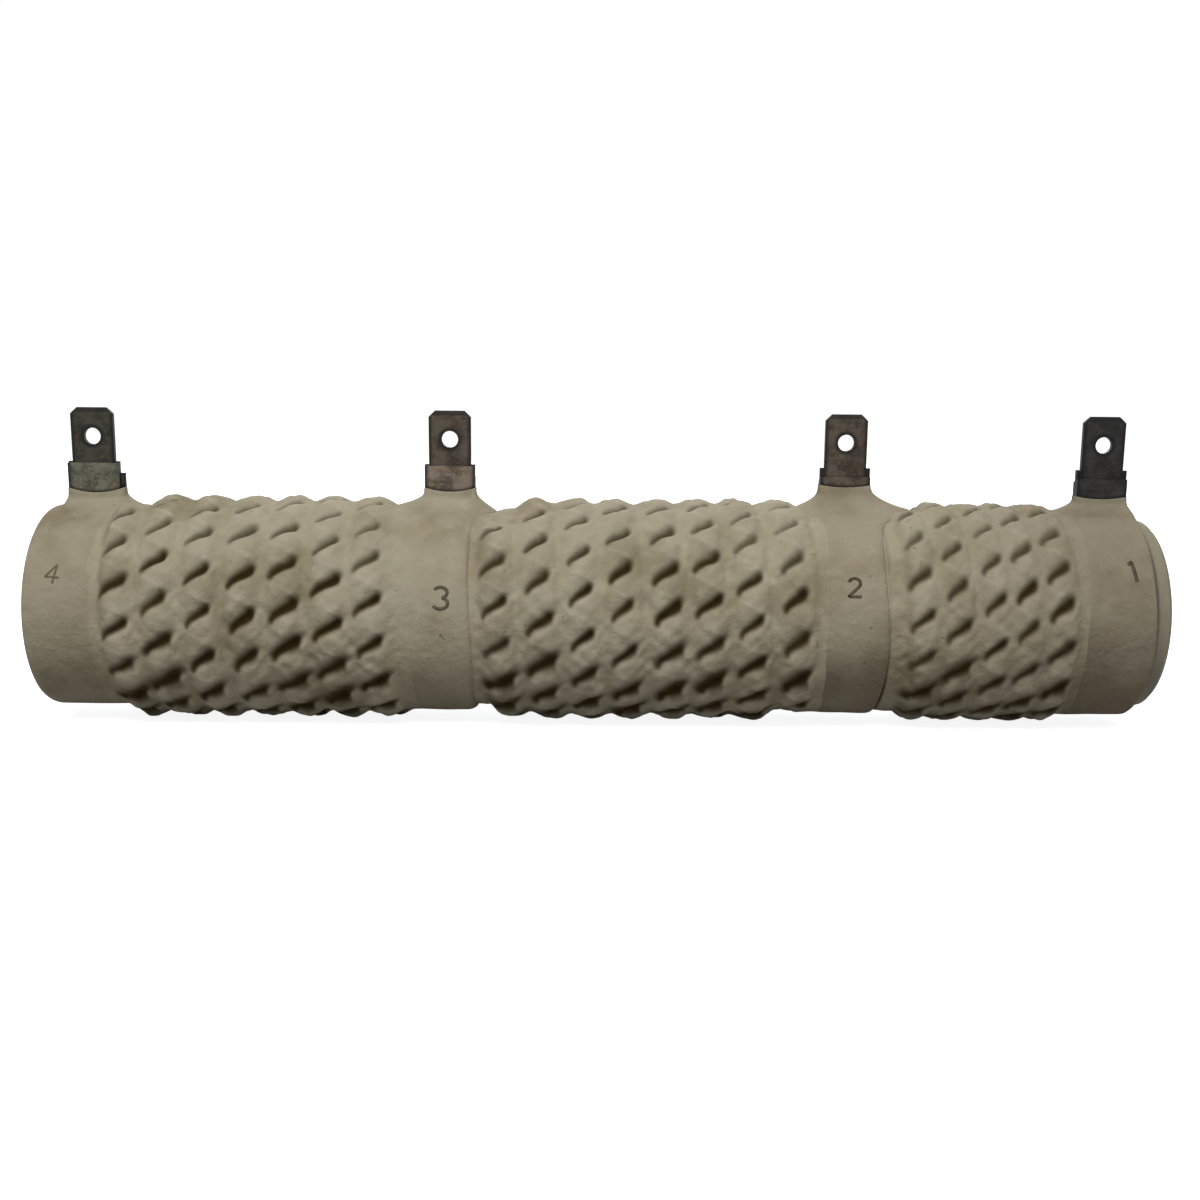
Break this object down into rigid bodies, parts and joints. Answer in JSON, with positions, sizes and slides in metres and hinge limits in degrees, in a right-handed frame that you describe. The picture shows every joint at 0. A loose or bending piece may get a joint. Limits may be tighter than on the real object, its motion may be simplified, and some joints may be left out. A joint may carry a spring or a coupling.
{
  "type": "blower motor resistor",
  "caption": "Tubular wire-wound power resistor: a bored ceramic tube with cement-coated coils in series and upright push-on blades, used to set the speeds of a vehicle's blower motor.",
  "frame": {"origin": "middle of the ceramic tube, on the axis of its bore", "axes": "+X along the tube from terminal 4 to terminal 1, +Z along the blades towards their tips, -Y towards the side that carries the terminal numbers"},
  "size_m": [0.167, 0.034, 0.0471],
  "materials": {
    "core": "bare fired ceramic",
    "coat": "rough matt cement",
    "strip": "dull, heat-tinted",
    "blade": "dark oxide",
    "wire": "oxidised resistance wire"
  },
  "bodies": {
    "root": {"core_tube": "core", "winding_4_3": "wire", "winding_3_2": "wire", "winding_2_1": "wire", "band_4": "strip", "band_3": "strip", "band_2": "strip", "band_1": "strip", "blade_4": "blade", "blade_3": "blade", "blade_2": "blade", "blade_1": "blade", "coating": "coat"}
  },
  "joints": []
}
